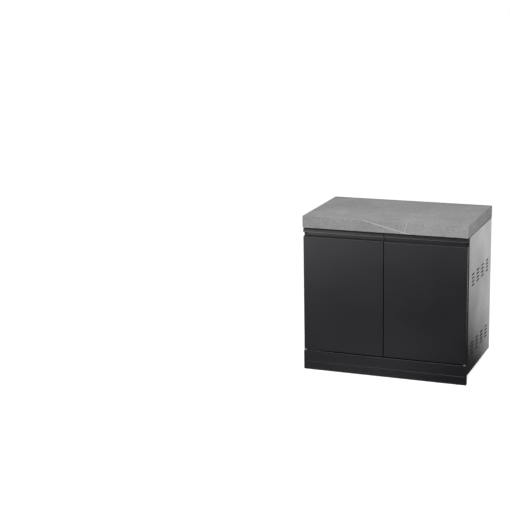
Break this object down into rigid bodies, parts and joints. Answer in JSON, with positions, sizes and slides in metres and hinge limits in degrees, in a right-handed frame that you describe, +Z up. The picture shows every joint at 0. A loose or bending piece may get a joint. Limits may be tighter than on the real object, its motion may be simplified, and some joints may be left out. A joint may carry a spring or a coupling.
{
  "type": "outdoor kitchen cabinet",
  "caption": "Free-standing outdoor kitchen cabinet with pivoting doors, finger-groove handles, vented sides, an inner shelf and a mitred stone benchtop.",
  "frame": {"origin": "on the floor, under the middle of the cabinet", "axes": "+Z up, +X to the right of someone facing the doors, the doors face -Y"},
  "size_m": [0.975, 0.6, 0.93],
  "materials": {
    "stone": "honed grey stone with pale veins, eased edges",
    "plywood": "marine plywood, oiled",
    "foam_tape": "closed-cell foam",
    "carcass_steel": "satin black powder coat on folded steel sheet",
    "door_steel": "satin black powder coat on folded steel sheet",
    "handle_aluminium": "black powder coat on extruded aluminium",
    "zinc_steel": "bright zinc plate",
    "black_zinc": "black zinc plate",
    "spring_steel": "drawn spring wire",
    "white_nylon": "moulded natural nylon",
    "black_nylon": "moulded black nylon",
    "magnet": "ground steel pole plates"
  },
  "bodies": {
    "carcass": {"back_panel": "carcass_steel", "base_panel": "carcass_steel", "bedding_tape": "foam_tape", "benchtop_battens": "plywood", "benchtop_front_apron": "stone", "benchtop_left_apron": "stone", "benchtop_rear_apron": "stone", "benchtop_right_apron": "stone", "benchtop_slab": "stone", "foot_nuts": "zinc_steel", "front_base_rail": "carcass_steel", "front_top_rail": "carcass_steel", "kickboard": "carcass_steel", "left_base_runner": "carcass_steel", "left_bottom_pivot_pin": "zinc_steel", "left_catch_housing": "black_nylon", "left_catch_magnet": "magnet", "left_shelf_rail": "carcass_steel", "left_side_flanges": "carcass_steel", "left_side_panel": "carcass_steel", "rear_top_rail": "carcass_steel", "right_base_runner": "carcass_steel", "right_bottom_pivot_pin": "zinc_steel", "right_catch_housing": "black_nylon", "right_catch_magnet": "magnet", "right_shelf_rail": "carcass_steel", "right_side_flanges": "carcass_steel", "right_side_panel": "carcass_steel", "shelf": "carcass_steel"},
    "left_door": {"left_door_skin": "door_steel", "left_door_liner": "door_steel", "left_door_handle": "handle_aluminium", "left_bottom_bush": "white_nylon", "left_pin_guide": "black_zinc", "left_pin_spring": "spring_steel", "left_striker_plate": "zinc_steel"},
    "left_top_pin": {"left_top_pivot_pin": "black_zinc"},
    "front_left_foot": {"front_left_foot_pad": "black_nylon", "front_left_foot_stud": "zinc_steel"},
    "rear_left_foot": {"rear_left_foot_pad": "black_nylon", "rear_left_foot_stud": "zinc_steel"},
    "right_door": {"right_door_skin": "door_steel", "right_door_liner": "door_steel", "right_door_handle": "handle_aluminium", "right_bottom_bush": "white_nylon", "right_pin_guide": "black_zinc", "right_pin_spring": "spring_steel", "right_striker_plate": "zinc_steel"},
    "right_top_pin": {"right_top_pivot_pin": "black_zinc"},
    "front_right_foot": {"front_right_foot_pad": "black_nylon", "front_right_foot_stud": "zinc_steel"},
    "rear_right_foot": {"rear_right_foot_pad": "black_nylon", "rear_right_foot_stud": "zinc_steel"}
  },
  "joints": [
    {"name": "left_door_hinge", "type": "hinge", "parent": "carcass", "child": "left_door", "pos_m": [-0.4745, -0.284, 0.49], "axis": [0, 0, -1], "range_deg": [0, 120]},
    {"name": "right_door_hinge", "type": "hinge", "parent": "carcass", "child": "right_door", "pos_m": [0.4745, -0.284, 0.49], "axis": [0, 0, 1], "range_deg": [0, 120]},
    {"name": "left_top_pin_slide", "type": "slide", "parent": "left_door", "child": "left_top_pin", "axis": [0, 0, -1], "range_m": [0, 0.006], "stiffness_N_per_m": 600, "springref_m": -0.008, "deforming": ["left_pin_spring"]},
    {"name": "right_top_pin_slide", "type": "slide", "parent": "right_door", "child": "right_top_pin", "axis": [0, 0, -1], "range_m": [0, 0.006], "stiffness_N_per_m": 600, "springref_m": -0.008, "deforming": ["right_pin_spring"]},
    {"name": "front_left_foot_height", "type": "slide", "parent": "carcass", "child": "front_left_foot", "axis": [0, 0, -1], "range_m": [-0.004, 0.02]},
    {"name": "front_right_foot_height", "type": "slide", "parent": "carcass", "child": "front_right_foot", "axis": [0, 0, -1], "range_m": [-0.004, 0.02]},
    {"name": "rear_left_foot_height", "type": "slide", "parent": "carcass", "child": "rear_left_foot", "axis": [0, 0, -1], "range_m": [-0.004, 0.02]},
    {"name": "rear_right_foot_height", "type": "slide", "parent": "carcass", "child": "rear_right_foot", "axis": [0, 0, -1], "range_m": [-0.004, 0.02]}
  ]
}
